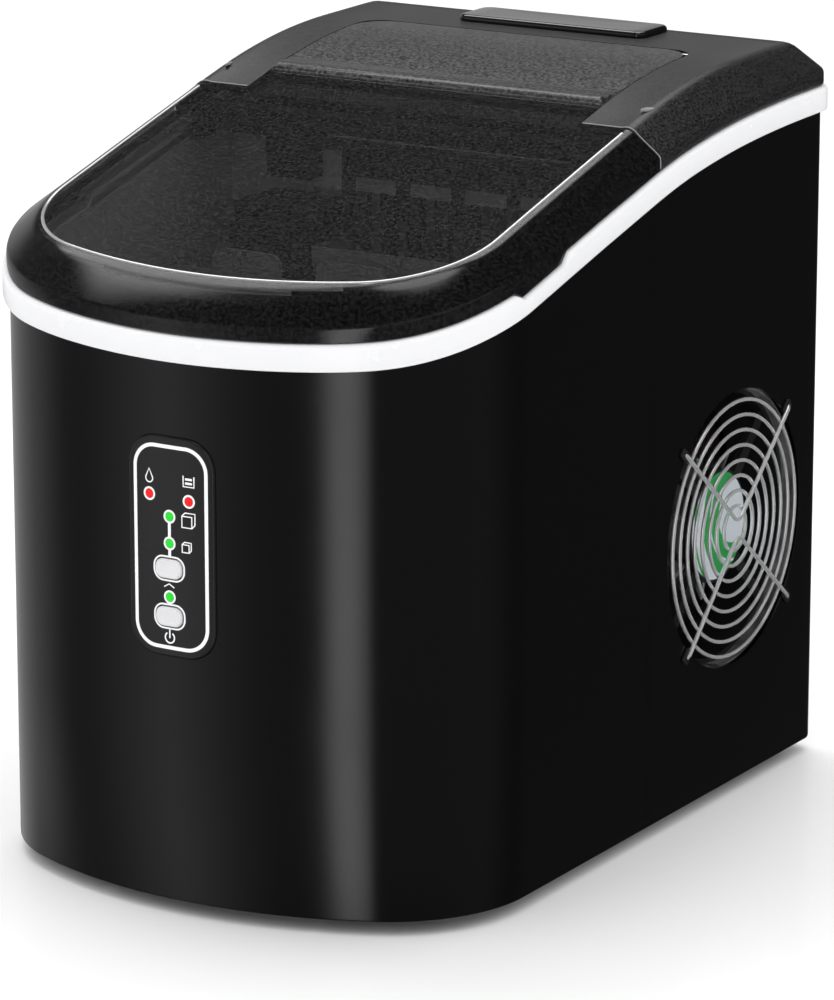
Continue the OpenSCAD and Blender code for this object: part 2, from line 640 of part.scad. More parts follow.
module panel_marks() color("white") placed() intersection() {
    bow_layer(panel_o, panel_o + mark_t, panel_z - 60, panel_z + 60);
    union() {
        difference() {
            front_plate(panel_x, panel_z, panel_w - 5.6, panel_h - 6.4, 10.4, -10, 10);
            front_plate(panel_x, panel_z, panel_w - 8.6, panel_h - 9.4, 8.9, -11, 11);
        }
        difference() {
            union() {
                for (p = concat(red_at, green_at)) rod_y(-10, 10, p.x, p.y, 2.8);
                mark([-1.4, 143], [-1.4, 159]);
                mark([-1.6, 123], [-1.6, 128]);
                for (z = button_z)
                    front_plate(panel_x - 0.7, z, button_size.x + 2.6, button_size.y + 2.6, 4.6, -10, 10);
            }
            for (p = concat(red_at, green_at)) rod_y(-11, 11, p.x, p.y, lens_r + 0.1);
            for (z = button_z)
                front_plate(panel_x - 0.7, z, button_size.x + 1.2, button_size.y + 1.2, 3.9, -11, 11);
        }
    }
}
module lenses(places) placed() for (p = places) rod_y(-1.5, 2.2, p.x, p.y, lens_r);
module red_lenses() color("red") lenses(red_at);
module green_lenses() color("limegreen") lenses(green_at);
module button(z) color("silver") placed() {
    front_plate(panel_x - 0.7, z, button_size.x, button_size.y, 3.4, -2.5, 3);
    rod_y(3, 3.6, panel_x, z, 2);
}
module select_button() button(button_z[0]);
module power_button() button(button_z[1]);

base_pan();
feet();
front_shell();
rear_shell();
trim_band();
rear_cover();
top_deck();
nameplate();
lid();
lid_hinge_pins();
inner_tub();
tub_insulation();
cross_bar();
ice_basket();
water_tray();
tray_axle_pins();
tray_motor();
tray_bracket();
evaporator();
freezing_fingers();
evaporator_cover();
ice_pusher();
ice_sensor();
compressor();
compressor_grommets();
condenser_fins();
condenser_tubes();
fan_frame();
fan_label();
fan_rotor();
fan_shroud();
fan_guard();
filter_drier();
refrigerant_pipes();
hot_gas_valve();
water_pump();
water_hose();
control_board();
power_board();
panel_bezel();
panel_marks();
red_lenses();
green_lenses();
select_button();
power_button();
drain_socket();
drain_plug();
power_gland();
case_screws();
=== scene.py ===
"""Looks for the countertop ice maker: smooth shells, a smoked lid, a wire guard and a button panel.

Lengths are in millimetres and measured in the case's own frame: y from the middle of the bowed
front towards the back, z from the bottom edge of the case. place() turns them into metres in the
shared frame."""
import json
import math

import bmesh
import bpy
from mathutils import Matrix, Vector


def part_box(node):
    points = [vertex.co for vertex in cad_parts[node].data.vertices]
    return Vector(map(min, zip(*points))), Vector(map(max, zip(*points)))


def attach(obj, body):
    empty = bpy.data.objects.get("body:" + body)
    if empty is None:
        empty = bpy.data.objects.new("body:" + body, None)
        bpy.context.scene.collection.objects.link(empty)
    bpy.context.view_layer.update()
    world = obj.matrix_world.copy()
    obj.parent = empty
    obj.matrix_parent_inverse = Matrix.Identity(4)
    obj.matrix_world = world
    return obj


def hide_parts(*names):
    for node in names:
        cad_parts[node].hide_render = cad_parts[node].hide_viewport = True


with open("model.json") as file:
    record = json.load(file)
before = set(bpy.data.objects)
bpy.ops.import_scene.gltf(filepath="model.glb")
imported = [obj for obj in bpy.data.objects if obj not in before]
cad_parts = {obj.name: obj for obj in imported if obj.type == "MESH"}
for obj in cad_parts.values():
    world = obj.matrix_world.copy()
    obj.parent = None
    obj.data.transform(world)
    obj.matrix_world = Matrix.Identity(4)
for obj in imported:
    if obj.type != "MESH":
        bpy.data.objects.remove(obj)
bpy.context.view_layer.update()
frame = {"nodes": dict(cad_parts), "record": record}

# ---- Sizes, worked out from the frame ----

MM = 0.001
shell_low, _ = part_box("front_shell")
_, rear_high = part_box("rear_shell")
_, band_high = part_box("trim_band")
FRONT = shell_low.y / MM                  # y of the bowed front's middle
FLOOR = shell_low.z / MM                  # z of the case's bottom edge
HALF_W = -shell_low.x / MM
DEPTH = (rear_high.y - shell_low.y) / MM
BAND_OUT = band_high.x / MM - HALF_W      # how far the white band stands out of the wall
BAND_H = 10.5
LIP_H = 7.0                               # upright part of the top, from the band to the crease
FINGER_Y, FINGER_W, FINGER_SOFT, FINGER_DEEP = 86, 20, 5, 3.6
WALL = 2.5
SEAM_Y = 179.0                            # where the front and the rear wrap meet
LID_Y = 182.0                             # where the lid's shoulders meet the rear cover
STEP_Y = 200.0                            # where the window ends and the grey panel starts
TONGUE_W = 81.4                           # the grey panel behind the window: half width, end, corners
TONGUE_Y = 282.4
TONGUE_R = 15.0
REAR_GAP = 1.0                            # between the panel's end and the pocket in the cover
POCKET_R = 11.0
CORNER_R = 64.0                           # the case's front corners, and where they end
CORNER_Y = 76.2
REAR_R = 10.0
RIDGE_IN = 12.5                           # from the wall in to the top's ridge, at the sides
RIDGE_FRONT = 17.0                        # and in front
LID_T = 3.0
FAN_Y, FAN_Z, FAN_HOLE_R = 256.0, 114.0, 60.6
DRAIN_Y, DRAIN_Z, DRAIN_R = 70, 44, 9.2
PANEL_X, PANEL_Z, PANEL_W, PANEL_H, PANEL_R = -1.1, 149.0, 41.0, 91.0, 13
PANEL_OUT = 1.2                           # how far the panel stands out of the front
BUTTON_W, BUTTON_H = 12.5, 8
BUTTON_X = PANEL_X - 0.7
BUTTON_Z = (140.3, 120.4)
FAR = 150                                 # clear of the case on either side, in front and behind
AHEAD, BEHIND = -20, 360
CUT_LOW, CUT_HIGH = 200, 340              # heights that clear the whole top

# Heights along the depth: (y, z) knots of the band's lower edge and of the top's ridge.
BAND_KNOTS = [(-4, 225.2), (18, 228.6), (60, 240.9), (100, 251.2), (150, 263.6), (200, 275),
              (245, 281), (290, 283.8), (342, 284.8)]
RIDGE_KNOTS = [(-4, 251.4), (18, 257), (200, 303.5), (231, 309.6), (262, 313), (300, 313.8),
               (342, 313.9)]


def place(x, y, z):
    """A point of the case's frame as a point of the shared frame, in metres."""
    return Vector((x * MM, (y + FRONT) * MM, (z + FLOOR) * MM))


def slope(knots, i):
    """Slope at knot i, from its neighbours."""
    a, b = knots[max(i - 1, 0)], knots[min(i + 1, len(knots) - 1)]
    return (b[1] - a[1]) / (b[0] - a[0])


def curve(knots, y):
    """Smooth curve through knots, the same as in the CAD source."""
    i = 0
    while i < len(knots) - 2 and y >= knots[i + 1][0]:
        i += 1
    (y0, z0), (y1, z1) = knots[i], knots[i + 1]
    w = y1 - y0
    t = (y - y0) / w
    return (z0 * (1 + 2 * t) * (1 - t) ** 2 + slope(knots, i) * w * t * (1 - t) ** 2
            + z1 * t * t * (3 - 2 * t) + slope(knots, i + 1) * w * t * t * (t - 1))


def smooth(t):
    """Smooth step from 0 to 1."""
    t = min(max(t, 0.0), 1.0)
    return t * t * (3 - 2 * t)


def dip(y):
    """How far the lid's lip dips into the band for the fingers."""
    return FINGER_DEEP * smooth((FINGER_W - abs(y - FINGER_Y)) / FINGER_SOFT)


def band_low(y):
    return curve(BAND_KNOTS, y)


def band_top(y):
    return band_low(y) + BAND_H - dip(y)


def crease(y):
    return band_low(y) + BAND_H + LIP_H


def ridge(y):
    return curve(RIDGE_KNOTS, y)


def arc(cx, cy, r, a, b, n):
    """n + 1 points of a circle from a to b degrees."""
    steps = [math.radians(a + (b - a) * i / n) for i in range(n + 1)]
    return [(cx + r * math.cos(t), cy + r * math.sin(t)) for t in steps]


def bow_radius(o, f):
    """Radius of the bowed front that starts at y = f and runs into the corners, moved out by o."""
    r, d = CORNER_R + o, CORNER_Y - f
    cx = HALF_W - CORNER_R
    return (cx * cx + d * d - r * r) / (2 * (d - r))


# Points along half the outline: bow, front corner, side, rear corner and back
BOW_N, CORNER_N, SIDE_N, REAR_N, BACK_N = 40, 28, 60, 10, 12


def half_line(o, f):
    """Right half of the case's outline moved outwards by o, from the front's middle at y = f."""
    big, r, back = bow_radius(o, f), CORNER_R + o, max(REAR_R + o, 3)
    cx = HALF_W - CORNER_R
    a = math.degrees(math.atan2(CORNER_Y - f - big, cx))
    rear = DEPTH + o - back
    points = arc(0, f + big, big, -90, a, BOW_N)
    points += arc(cx, CORNER_Y, r, a, 0, CORNER_N)[1:]
    points += [(HALF_W + o, CORNER_Y + (rear - CORNER_Y) * i / SIDE_N) for i in range(1, SIDE_N)]
    points += arc(HALF_W + o - back, rear, back, 0, 90, REAR_N)
    points += [((HALF_W + o - back) * (1 - i / BACK_N), DEPTH + o) for i in range(1, BACK_N + 1)]
    return points


def outline(o, f=None):
    """The case's whole outline moved outwards by o."""
    half = half_line(o, -o if f is None else f)
    return half + [(-x, y) for x, y in half[-2:0:-1]]


# ---- Mesh builders ----

def new_object(name, points, faces, convert=place, angle=35):
    mesh = bpy.data.meshes.new(name)
    mesh.from_pydata([convert(*p) for p in points], [], faces)
    mesh.validate()
    obj = bpy.data.objects.new(name, mesh)
    bpy.context.scene.collection.objects.link(obj)
    finish_mesh(obj, angle)
    return obj


def finish_mesh(obj, angle=35):
    """Outward normals, and smooth shading that stays sharp at edges over the angle."""
    bm = bmesh.new()
    bm.from_mesh(obj.data)
    bmesh.ops.recalc_face_normals(bm, faces=bm.faces)
    limit = math.radians(angle)
    for face in bm.faces:
        face.smooth = True
    for edge in bm.edges:
        edge.smooth = len(edge.link_faces) == 2 and edge.calc_face_angle(0) < limit
    bm.to_mesh(obj.data)
    bm.free()


def quad(base, i, j, m):
    """Face i between rings j and j + 1 of m points each, which start at base."""
    a, b, n = base + j * m, base + (j + 1) * m, (i + 1) % m
    return (a + i, a + n, b + n, b + i)


def lofted(name, rings, closed=False, angle=35, convert=place):
    """Skin between rings of points. closed joins the last ring to the first; else it gets caps."""
    m = len(rings[0])
    points = [p for ring in rings for p in ring]
    faces = [quad(0, i, j, m) for j in range(len(rings) - 1) for i in range(m)]
    last = (len(rings) - 1) * m
    if closed:
        faces += [(last + i, last + (i + 1) % m, (i + 1) % m, i) for i in range(m)]
    else:
        faces += [tuple(range(m))[::-1], tuple(range(last, last + m))]
    return new_object(name, points, faces, convert, angle)


def sweep(name, path, r, sides=16, closed=False):
    """Round wire along a path of points."""
    pts = [Vector(p) for p in path]
    n = len(pts)
    rings = []
    up = None
    for i, p in enumerate(pts):
        a = pts[i - 1] if i or closed else pts[0]
        b = pts[(i + 1) % n] if i < n - 1 or closed else pts[-1]
        t = (b - a).normalized()
        if up is None:
            up = t.orthogonal().normalized()
        up = (up - t * up.dot(t)).normalized()
        side = t.cross(up)
        turn = [2 * math.pi * s / sides for s in range(sides)]
        rings.append([tuple(p + (up * math.cos(w) + side * math.sin(w)) * r) for w in turn])
    return lofted(name, rings, closed)


def lathe(name, profile, convert, n=48):
    """Surface of revolution: profile points are (radius, height)."""
    turn = [2 * math.pi * i / n for i in range(n)]
    rings = [[(r * math.cos(a), r * math.sin(a), h) for a in turn] for r, h in profile]
    return lofted(name, rings, convert=convert)


def rounded_rect(w, h, r, n=10):
    """Outline of a w by h rectangle round the origin, with corners of radius r."""
    points = []
    for sx, sy, a in ((1, 1, 0), (-1, 1, 90), (-1, -1, 180), (1, -1, 270)):
        points += arc(sx * (w / 2 - r), sy * (h / 2 - r), r, a, a + 90, n)
    return points


def edge_steps(r, n=5):
    """Inset and depth of a quarter-round edge, from the side to the face."""
    turn = [math.pi / 2 * i / n for i in range(n + 1)]
    return [(r * (1 - math.cos(a)), -r * (1 - math.sin(a))) for a in turn]


def pad(name, w, h, r, thick, edge, convert, crown=0.0):
    """Rounded plate with a quarter-round edge and a crowned or, under 0, a dished face. Its own x
    and y run along it, and z is its height."""
    rings = [[(x, y, -thick) for x, y in rounded_rect(w, h, r)]]
    for inset, down in edge_steps(edge):
        line = rounded_rect(w - 2 * inset, h - 2 * inset, r - inset * 0.8)
        rings.append([(x, y, down) for x, y in line])
    top = rings[-1]
    for k in (0.85, 0.6, 0.3):
        rings.append([(x * k, y * k, crown * (1 - k * k)) for x, y, _ in top])
    return lofted(name, rings, convert=convert)


def boolean(obj, cutter, operation):
    """Cuts obj's mesh once and for all, and removes the cutter."""
    mod = obj.modifiers.new("cut", "BOOLEAN")
    mod.operation = operation
    mod.solver = "EXACT"
    mod.object = cutter
    bpy.context.view_layer.update()
    depsgraph = bpy.context.evaluated_depsgraph_get()
    done = bpy.data.meshes.new_from_object(obj.evaluated_get(depsgraph))
    obj.modifiers.clear()
    old = obj.data
    obj.data = done
    bpy.data.meshes.remove(old)
    bpy.data.objects.remove(cutter)


def join(name, objects):
    """One object from several that have no materials yet."""
    bm = bmesh.new()
    for obj in objects:
        bm.from_mesh(obj.data)
    mesh = bpy.data.meshes.new(name)
    bm.to_mesh(mesh)
    bm.free()
    for obj in objects:
        bpy.data.objects.remove(obj)
    obj = bpy.data.objects.new(name, mesh)
    bpy.context.scene.collection.objects.link(obj)
    return obj


def keep_region(obj, region):
    """Cuts a shell down to what lies over a region of the plan."""
    rings = [[(x, y, z) for x, y in region] for z in (CUT_LOW, CUT_HIGH)]
    boolean(obj, lofted("region", rings), "INTERSECT")
    finish_mesh(obj, 40)


# ---- Materials ----

def principled(name, color, rough, metallic, sockets):
    mat = bpy.data.materials.new(name)
    mat.use_nodes = True
    shader = mat.node_tree.nodes["Principled BSDF"]
    shader.inputs["Base Color"].default_value = (*color, 1)
    shader.inputs["Roughness"].default_value = rough
    shader.inputs["Metallic"].default_value = metallic
    for key, value in sockets.items():
        shader.inputs[key].default_value = value
    return mat


def textured(mat, scale, low, high, bump=0.0, tones=None, detail=4.0, distance=0.0002):
    """Adds object-space noise to a material's roughness, from low to high, and to its bump, and mixes
    two tones for its colour if they are given."""
    tree = mat.node_tree
    nodes, links = tree.nodes, tree.links
    shader = nodes["Principled BSDF"]
    where = nodes.new("ShaderNodeTexCoord")
    noise = nodes.new("ShaderNodeTexNoise")
    noise.inputs["Scale"].default_value = scale
    noise.inputs["Detail"].default_value = detail
    links.new(where.outputs["Object"], noise.inputs["Vector"])
    spread = nodes.new("ShaderNodeMapRange")
    spread.inputs["To Min"].default_value = low
    spread.inputs["To Max"].default_value = high
    links.new(noise.outputs["Fac"], spread.inputs["Value"])
    links.new(spread.outputs["Result"], shader.inputs["Roughness"])
    if bump:
        rise = nodes.new("ShaderNodeBump")
        rise.inputs["Strength"].default_value = bump
        rise.inputs["Distance"].default_value = distance
        links.new(noise.outputs["Fac"], rise.inputs["Height"])
        links.new(rise.outputs["Normal"], shader.inputs["Normal"])
    if tones:
        ramp = nodes.new("ShaderNodeValToRGB")
        for element, position, tone in zip(ramp.color_ramp.elements, (0.35, 0.65), tones):
            element.position = position
            element.color = (*tone, 1)
        links.new(noise.outputs["Fac"], ramp.inputs["Fac"])
        links.new(ramp.outputs["Color"], shader.inputs["Base Color"])
    return mat


def grey(v):
    return (v, v, v * 1.02)


# Name: colour, roughness, metallic, then the noise's scale, lowest and highest roughness and bump.
MATERIALS = {
    "case_black": (grey(0.0025), 0.16, 0, 35, 0.13, 0.19, 0.02),
    "band_white": (grey(0.8), 0.25, 0, 60, 0.22, 0.3, 0.02),
    "cover_black": (grey(0.012), 0.42, 0, 1000, 0.32, 0.5, 0.12),
    "tongue_grey": (grey(0.03), 0.3, 0, 700, 0.24, 0.42, 0.3),
    # Painted highlight: light grey for the thin edge along the cover's joint, and the colour of the
    # cover's clips
    "highlight_and_clip_grey": (grey(0.25), 0.3, 0, 900, 0.25, 0.4, 0.1),
    "plate_black": (grey(0.006), 0.1, 0, 40, 0.08, 0.14, 0.02),
    "smoked": (grey(0.02), 0.06, 0, 750, 0.05, 0.12, 0.03),
    "smoked_rim": (grey(0.006), 0.08, 0, 700, 0.06, 0.16, 0.03),
    # Painted highlight: light grey and part metal, so that the bead round the window shows the rounded
    # edge's highlight
    "rim_painted_highlight": (grey(0.5), 0.12, 0.45, 300, 0.08, 0.2, 0.02),
    "pan_grey": (grey(0.08), 0.45, 0.6, 200, 0.38, 0.55, 0.1),
    "foot_rubber": (grey(0.02), 0.7, 0, 500, 0.6, 0.8, 0.2),
    "pin_steel": (grey(0.6), 0.3, 1, 300, 0.22, 0.4, 0.05),
    "inner_gloss": (grey(0.03), 0.2, 0, 200, 0.14, 0.26, 0.03),
    "tub_grey": (grey(0.75), 0.4, 0, 150, 0.35, 0.5, 0.05),
    "foam": ((0.85, 0.85, 0.8), 0.8, 0, 600, 0.7, 0.9, 0.5),
    "basket_plastic": (grey(0.5), 0.35, 0, 200, 0.3, 0.45, 0.05),
    "inner_black": (grey(0.015), 0.35, 0, 300, 0.28, 0.45, 0.08),
    "copper": ((0.75, 0.38, 0.22), 0.3, 1, 120, 0.22, 0.45, 0.05),
    # Painted shade: the fingers' nickel is darkened to stand in for the shade inside the tub under the lid
    "finger_nickel": (grey(0.18), 0.3, 1, 200, 0.2, 0.32, 0.03),
    "compressor_black": (grey(0.012), 0.3, 0, 150, 0.25, 0.4, 0.1),
    "fin_aluminium": (grey(0.75), 0.35, 1, 400, 0.3, 0.45, 0.05),
    "guard_chrome": (grey(0.97), 0.1, 0.72, 250, 0.06, 0.15, 0),
    "rotor_grey": (grey(0.3), 0.2, 0.5, 60, 0.12, 0.3, 0.05),
    "shroud_grey": (grey(0.4), 0.2, 0.6, 60, 0.14, 0.3, 0.05),
    "hose_clear": ((0.7, 0.7, 0.66), 0.3, 0, 200, 0.25, 0.4, 0.03),
    "board_green": ((0.02, 0.16, 0.05), 0.4, 0, 300, 0.3, 0.5, 0.05),
    "panel_black": (grey(0.012), 0.22, 0, 90, 0.18, 0.28, 0.02),
    "mark_white": (grey(0.92), 0.5, 0, 300, 0.45, 0.6, 0),
    "lens_red": ((0.7, 0.01, 0.012), 0.12, 0, 800, 0.08, 0.18, 0.05),
    "lens_green": ((0.02, 0.55, 0.03), 0.12, 0, 800, 0.08, 0.18, 0.05),
    "button_silver": (grey(0.85), 0.28, 0.25, 250, 0.24, 0.38, 0.03),
    "label_green": (grey(0.7), 0.4, 0, 300, 0.35, 0.5, 0.02),
}
# Settings of the shader that differ from its own
SHADER = {
    "plate_black": {"Coat Weight": 0.5},
    "smoked": {"Alpha": 0.5},
    "smoked_rim": {"Alpha": 0.93},
    "lens_red": {"Emission Color": (0.8, 0.01, 0.01, 1), "Emission Strength": 0.25},
    "lens_green": {"Emission Color": (0.02, 0.7, 0.03, 1), "Emission Strength": 0.25},
}
# Settings of the noise, and the two tones that it mixes
NOISE = {
    "case_black": {"distance": 0.0001},
    "cover_black": {"tones": ((0.002, 0.002, 0.002), (0.035, 0.035, 0.036)), "detail": 3,
                    "distance": 0.00012},
    "tongue_grey": {"tones": ((0.006, 0.006, 0.006), (0.08, 0.08, 0.082)), "detail": 3,
                    "distance": 0.00012},
    "smoked": {"tones": ((0.001, 0.001, 0.001), (0.075, 0.075, 0.077)), "detail": 3},
    "smoked_rim": {"tones": ((0.002, 0.002, 0.002), (0.014, 0.014, 0.0145)), "detail": 3},
    "copper": {"tones": ((0.7, 0.34, 0.2), (0.8, 0.44, 0.28))},
    "rotor_grey": {"tones": ((0.08, 0.08, 0.082), (0.5, 0.5, 0.51))},
    "shroud_grey": {"tones": ((0.15, 0.15, 0.155), (0.6, 0.6, 0.61))},
    "board_green": {"tones": ((0.012, 0.12, 0.035), (0.03, 0.22, 0.07))},
}


def make_materials():
    made = {}
    for name, (color, rough, metallic, *grain) in MATERIALS.items():
        mat = principled(name, color, rough, metallic, SHADER.get(name, {}))
        made[name] = textured(mat, *grain, **NOISE.get(name, {}))
    print_label(made["label_green"])
    return made


LABEL_REACH = 40.0                        # distance from the print's middle where the ramp ends
LABEL_Y, LABEL_Z = FAN_Y + 15, FAN_Z + 4  # the print's middle, off the fan's axis
PAPER, INK = (0.66, 0.7, 0.76, 1), (0.02, 0.36, 0.07, 1)
INK_FROM = 0.36                           # share of the reach where the first green ring starts
LABEL_RINGS = ((0.54, PAPER), (0.57, INK), (0.72, PAPER), (0.88, INK), (0.92, PAPER))


def print_label(mat):
    """A generic printed disc: pale paper with green rings off its middle."""
    nodes, links = mat.node_tree.nodes, mat.node_tree.links
    where = nodes.new("ShaderNodeTexCoord")
    shift = nodes.new("ShaderNodeMapping")
    middle = place(0, LABEL_Y, LABEL_Z)
    shift.inputs["Location"].default_value = (0, -middle.y, -middle.z)
    split = nodes.new("ShaderNodeSeparateXYZ")
    links.new(where.outputs["Object"], shift.inputs["Vector"])
    links.new(shift.outputs["Vector"], split.inputs["Vector"])
    flat = nodes.new("ShaderNodeCombineXYZ")
    links.new(split.outputs["Y"], flat.inputs["Y"])
    links.new(split.outputs["Z"], flat.inputs["Z"])
    reach = nodes.new("ShaderNodeVectorMath")
    reach.operation = "LENGTH"
    links.new(flat.outputs["Vector"], reach.inputs[0])
    spread = nodes.new("ShaderNodeMapRange")
    spread.inputs["From Max"].default_value = LABEL_REACH * MM
    links.new(reach.outputs["Value"], spread.inputs["Value"])
    ramp = nodes.new("ShaderNodeValToRGB")
    ramp.color_ramp.interpolation = "CONSTANT"
    ramp.color_ramp.elements[0].color = PAPER
    ramp.color_ramp.elements[1].position = INK_FROM
    ramp.color_ramp.elements[1].color = INK
    for position, tone in LABEL_RINGS:
        ramp.color_ramp.elements.new(position).color = tone
    links.new(spread.outputs["Result"], ramp.inputs["Fac"])
    links.new(ramp.outputs["Color"], nodes["Principled BSDF"].inputs["Base Color"])


materials = make_materials()


def dress(obj, body, slot, *nodes, material=None):
    """Gives a new piece its material, the slot's unless another is named, and its body, and hides the CAD
    nodes that it stands for.
    """
    obj.data.materials.clear()
    obj.data.materials.append(materials[material or slot])
    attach(obj, body)
    if nodes:
        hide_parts(*nodes)
    return obj


def paint_faces(obj, material, chosen):
    """Gives a second material to the faces whose middle, in the case's frame, chosen() picks."""
    obj.data.materials.append(materials[material])
    for face in obj.data.polygons:
        c = face.center
        if chosen(c.x / MM, c.y / MM - FRONT):
            face.material_index = 1


# CAD nodes that don't take the material of their slot
OWN_MATERIAL = {"fan_rotor": "rotor_grey", "fan_shroud": "shroud_grey", "ice_pusher": "inner_gloss",
                "ice_sensor": "inner_gloss"}


def dress_cad_nodes():
    """Carried-over CAD nodes get the procedural material of their own slot."""
    slot_of = {s["node"]: s["material_slot"] for s in frame["record"]["subparts"]}
    slot_of.update(OWN_MATERIAL)
    for name, obj in frame["nodes"].items():
        for slot in obj.material_slots:
            slot.material = materials[slot_of[name]]


# ---- Case ----

# Rounded lower edge of the wall, from the inside out: offset from the outline, and height
WALL_EDGE = [(-WALL, 0.8), (-1.7, 0.0), (-0.9, 0.0), (-0.25, 0.3), (0.0, 1.1)]
UNDER_BAND = 0.1                          # the wall ends this far under the band's lower edge


def wall_rings(keep, from_rear):
    """Cross-sections of the wall for the outline points that keep() picks, in order round the case."""
    lines = {o: outline(o) for o, _ in WALL_EDGE}
    n = len(lines[0.0])
    start = n // 2 if from_rear else 0
    order = [(start + i) % n for i in range(n)]
    picked = [i for i in order if keep(*lines[0.0][i])]
    rings = []
    for i in picked:
        ring = [(*lines[o][i], h) for o, h in WALL_EDGE]
        x, y = lines[0.0][i]
        top = band_low(y) - UNDER_BAND
        ring += [(x, y, top * k) for k in (0.33, 0.66, 1.0)]
        xi, yi = lines[-WALL][i]
        ring += [(xi, yi, band_low(yi) - UNDER_BAND)]
        rings.append(ring)
    return rings


def wrap(name, rings, seam):
    """Wall through the rings, with its two end rings repeated at the seam's y."""
    left, right = ([(x, seam, z) for x, _, z in rings[end]] for end in (0, -1))
    return lofted(name, [left] + rings + [right], angle=40)


def cut_through(obj, line, ends, across):
    """Cuts a straight hole with the given outline through a wall. across() makes a point of the
    outline's own u and v and the distance along the hole."""
    cutter = lofted("cut", [[across(u, v, end) for u, v in line] for end in ends])
    boolean(obj, cutter, "DIFFERENCE")


def circle(r, n):
    return arc(0, 0, r, 0, 360, n)[:-1]


def make_front_shell():
    rings = wall_rings(lambda x, y: y < SEAM_Y - 1.5, True)
    shell = wrap("front_wrap", rings, SEAM_Y)
    window = rounded_rect(PANEL_W + 0.4, PANEL_H + 0.4, PANEL_R + 0.2)
    cut_through(shell, window, (-12, 14), lambda u, v, y: (u + PANEL_X, y, v + PANEL_Z))
    cut_through(shell, circle(DRAIN_R, 48), (-HALF_W - 6, -HALF_W + 6),
                lambda u, v, x: (x, DRAIN_Y + u, DRAIN_Z + v))
    finish_mesh(shell, 40)
    dress(shell, "case", "case_black", "front_shell")


SEAM_GAP = 0.35
# Air slots: height, corners and distance from one to the next; then how many there are in a column,
# how wide they are and the height of the lowest
SLOT_H, SLOT_R, SLOT_STEP = 4, 1.9, 9
SIDE_SLOTS, SIDE_SLOT_W, SIDE_SLOT_Z = 12, 44, 52
BACK_SLOTS, BACK_SLOT_W, BACK_SLOT_Z = 8, 96, 152
SIDE_SLOT_Y = (234, 286)


def make_rear_shell():
    rings = wall_rings(lambda x, y: y > SEAM_Y + 1.8, False)
    shell = wrap("rear_wrap", rings, SEAM_Y + SEAM_GAP)
    hole = lofted("fan_cut", [[(x, FAN_Y + a, FAN_Z + b) for a, b in circle(r, 128)]
                              for x, r in ((HALF_W - 6, FAN_HOLE_R), (HALF_W - 0.5, FAN_HOLE_R),
                                           (HALF_W + 0.01, FAN_HOLE_R + 0.5),
                                           (HALF_W + 4, FAN_HOLE_R + 0.5))])
    boolean(shell, hole, "DIFFERENCE")
    slots = []
    side = rounded_rect(SIDE_SLOT_W, SLOT_H, SLOT_R, 4)
    back = rounded_rect(BACK_SLOT_W, SLOT_H, SLOT_R, 4)
    for i in range(SIDE_SLOTS):
        for y in SIDE_SLOT_Y:
            slots.append([[(x, y + a, SIDE_SLOT_Z + SLOT_STEP * i + b) for a, b in side]
                          for x in (-HALF_W - 5, -HALF_W + 5)])
    for i in range(BACK_SLOTS):
        slots.append([[(a, y, BACK_SLOT_Z + SLOT_STEP * i + b) for a, b in back]
                      for y in (DEPTH - 5, DEPTH + 5)])
    boolean(shell, join("slot_cut", [lofted("slot", ends) for ends in slots]), "DIFFERENCE")
    finish_mesh(shell, 40)
    dress(shell, "case", "case_black", "rear_shell")


def make_band():
    """White band: outer face with rounded edges, and the flange that runs in under the lid."""
    o = BAND_OUT
    # Offset, share of the band's height, and extra height
    section = [(-WALL, 0, 0), (o - 0.9, 0, 0), (o - 0.25, 0, 0.25), (o, 0, 0.9), (o, 0.5, 0), (o, 1, -1.6),
               (o - 0.35, 1, -0.6), (o - 1.2, 1, 0), (-8.4, 1, 0), (-8.4, 1, -2), (-WALL, 1, -4)]
    rings = []
    for off, w, dz in section:
        line = outline(off)
        rings.append([(x, y, band_low(y) * (1 - w) + band_top(y) * w + dz) for x, y in line])
    band = lofted("shoulder_band", rings, closed=True, angle=50)
    dress(band, "case", "band_white", "trim_band")


# ---- Top: lid and rear cover, cut from one rounded shell ----

def bezier(a, b, c, t):
    """Point of a curve from a to c that is pulled towards b."""
    return tuple(a[i] * (1 - t) ** 2 + 2 * b[i] * t * (1 - t) + c[i] * t * t for i in range(len(a)))


def top_rings(inner, bead):
    """Rings from the lip's lower edge over the crease and the bevel to the flat top. Each is
    (offset, front, share of the way up from the crease to the ridge, base, extra height). A base of
    None measures from the band's top instead. bead lifts the bevel's upper edge."""
    if inner:
        rings = [(-1.8, 1.8, 0, None, 0.5), (-2.0, 2.0, 0, 0, -1.5)]
        a = (-2.0 - 9, 2.0 + 12, 0.72, -LID_T)
        b = (-RIDGE_IN - 2, RIDGE_FRONT + 2.5, 1, -LID_T)
        c = (-RIDGE_IN - 7, RIDGE_FRONT + 7.5, 1, -LID_T)
        steps = (0.0, 0.3, 0.6, 1.0)
    else:
        rings = [(0.6, -0.6, 0, None, 0.4), (1.1, -1.1, 0, None, 0.9), (1.2, -1.2, 0, None, 2.0),
                 (1.15, -1.15, 0, 0, -1.3), (0.85, -0.85, 0, 0, -0.3), (0.2, -0.2, 0.05, 0, 0.0)]
        start = 0.74                      # share of the bevel's way where it starts to round over
        a = (1 - (RIDGE_IN + 1) * start, -1 + (RIDGE_FRONT + 1) * start, start, 0)
        b = (1 - (RIDGE_IN + 1), -1 + (RIDGE_FRONT + 1), 1, bead)
        c = (-RIDGE_IN - 4.5, RIDGE_FRONT + 4.5, 1, 0)
        steps = (0.0, 0.2, 0.4, 0.6, 0.8, 1.0)
    for t in steps:
        o, f, w, dz = bezier(a, b, c, t)
        rings.append((o, f, w, 0, dz))
    return rings


